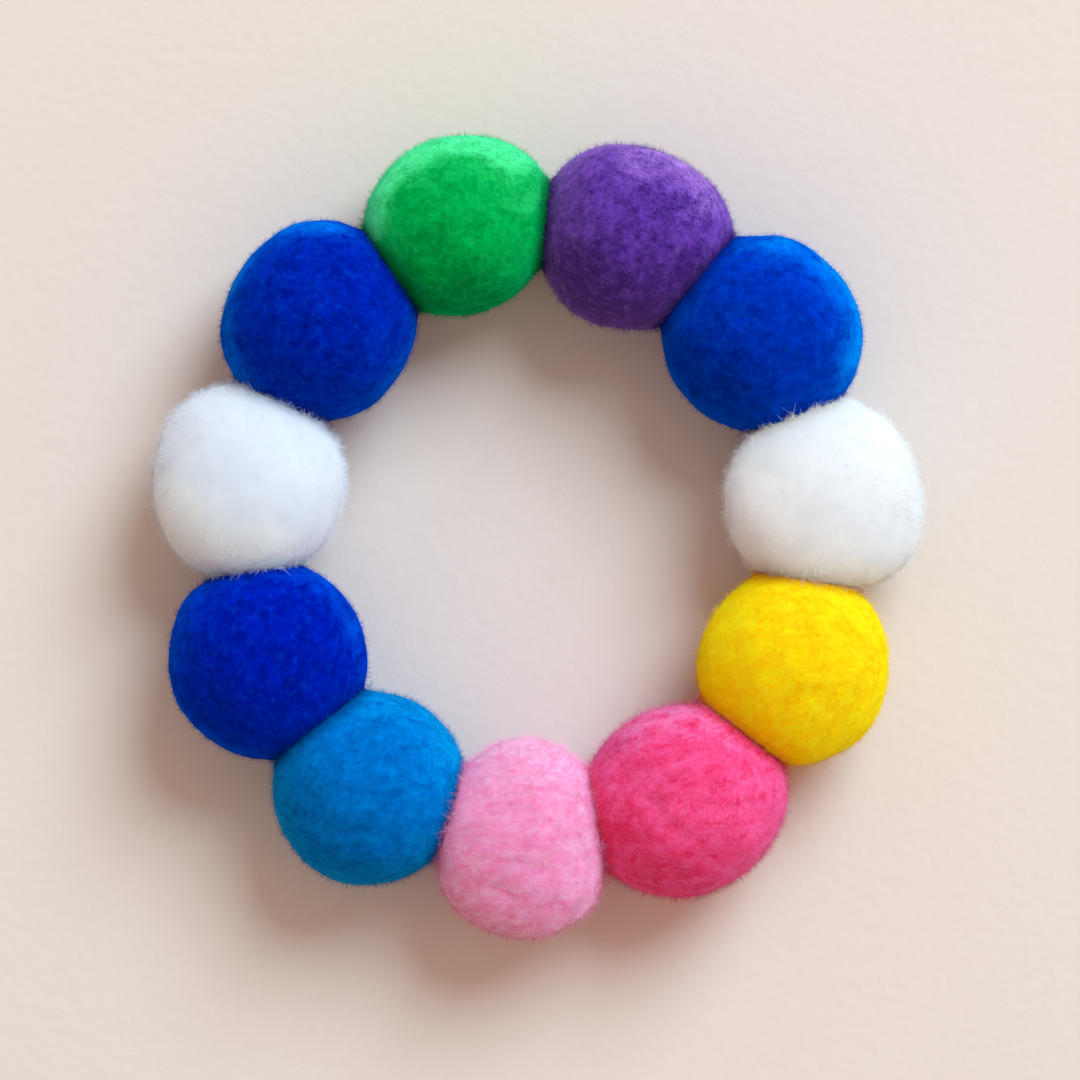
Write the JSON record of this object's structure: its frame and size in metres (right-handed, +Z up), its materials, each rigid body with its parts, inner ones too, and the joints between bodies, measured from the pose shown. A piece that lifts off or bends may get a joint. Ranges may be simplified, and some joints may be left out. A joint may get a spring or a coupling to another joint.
{
  "type": "yarn pom pom ring",
  "caption": "Closed ring of round felted yarn pompoms in bright mixed colours, pressed side by side and lying flat, worn as a soft bracelet or used as a craft ring.",
  "frame": {"origin": "on the surface that the ring lies on, under the middle of its bounding box", "axes": "+Z up, out of the surface; +Y across the ring's slightly longer diameter, towards the green and purple pompoms; +X to the right seen from above"},
  "size_m": [0.1011, 0.1052, 0.0251],
  "materials": {
    "green_yarn": "matt brushed yarn, clipped round and felted, with a short fuzz",
    "purple_yarn": "matt brushed yarn, clipped round and felted, with a short fuzz",
    "royal_blue_yarn": "matt brushed yarn, clipped round and felted, with a short fuzz",
    "white_yarn": "matt brushed yarn, clipped round and felted, with a short fuzz",
    "yellow_yarn": "matt brushed yarn, clipped round and felted, with a short fuzz",
    "hot_pink_yarn": "matt brushed yarn, clipped round and felted, with a short fuzz",
    "light_pink_yarn": "matt brushed yarn, clipped round and felted, with a short fuzz",
    "sky_blue_yarn": "matt brushed yarn, clipped round and felted, with a short fuzz"
  },
  "bodies": {
    "root": {"pompom_green": "green_yarn", "pompom_purple": "purple_yarn", "pompom_blue_right": "royal_blue_yarn", "pompom_white_right": "white_yarn", "pompom_yellow": "yellow_yarn", "pompom_hot_pink": "hot_pink_yarn", "pompom_light_pink": "light_pink_yarn", "pompom_sky_blue": "sky_blue_yarn", "pompom_blue_lower": "royal_blue_yarn", "pompom_white_left": "white_yarn", "pompom_blue_upper": "royal_blue_yarn"}
  },
  "joints": []
}
